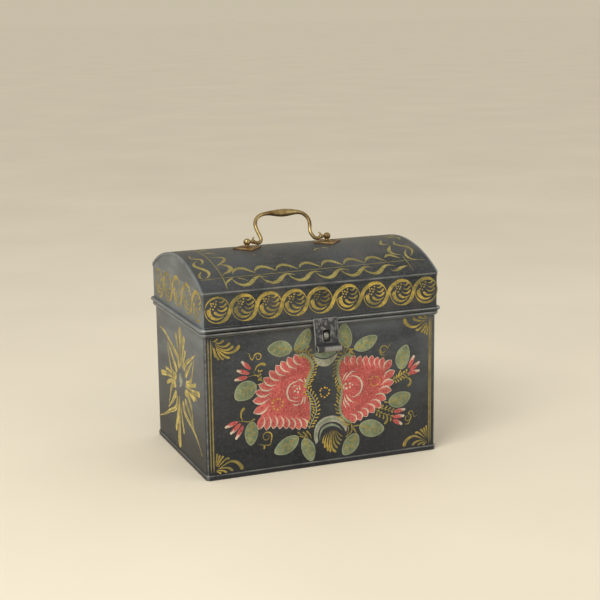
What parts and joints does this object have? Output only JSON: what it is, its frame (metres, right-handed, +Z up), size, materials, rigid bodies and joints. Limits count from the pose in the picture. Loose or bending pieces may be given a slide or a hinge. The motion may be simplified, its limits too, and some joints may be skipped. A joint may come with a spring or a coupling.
{
  "type": "deed box",
  "caption": "Dome-lidded box of japanned tinplate for papers, with a hinged lid, a hasp over a wire staple and a swinging brass carrying handle.",
  "frame": {"origin": "centre of the underside of the bottom pan", "axes": "+X along the width to the right seen from the front, -Y out of the front with the hasp, +Z up"},
  "size_m": [0.2594, 0.1909, 0.2493],
  "materials": {
    "japan_case": "satin black japan over tinplate",
    "japan_lid": "satin black japan over tinplate",
    "tin": "dull tin over iron",
    "hasp_tin": "dull tin, rubbed bright at the edges",
    "brass": "aged brass"
  },
  "bodies": {
    "case": {"case_wrap": "japan_case", "case_back": "japan_case", "case_bottom": "japan_case", "staple": "tin", "staple_plate": "tin", "hinge_strap_left": "tin", "hinge_strap_right": "tin", "hinge_rivets": "tin"},
    "lid": {"lid_band": "japan_lid", "lid_top": "japan_lid", "lid_wire": "tin", "handle_post_left": "brass", "handle_post_right": "brass", "escutcheon_left": "brass", "escutcheon_right": "brass", "washer_left": "tin", "washer_right": "tin", "nut_left": "tin", "nut_right": "tin"},
    "bail": {"handle_bail": "brass"},
    "hasp": {"hasp": "hasp_tin"}
  },
  "joints": [
    {"name": "lid_hinge", "type": "hinge", "parent": "case", "child": "lid", "pos_m": [0, 0.08765, 0.1518], "axis": [-1, 0, 0], "range_deg": [0, 110]},
    {"name": "bail_swing", "type": "hinge", "parent": "lid", "child": "bail", "pos_m": [-0.0045, 0, 0.21985], "axis": [1, 0, 0], "range_deg": [-66, 130]},
    {"name": "hasp_swing", "type": "hinge", "parent": "lid", "child": "hasp", "pos_m": [0, -0.08765, 0.1518], "axis": [-1, 0, 0], "range_deg": [-10, 150]}
  ]
}
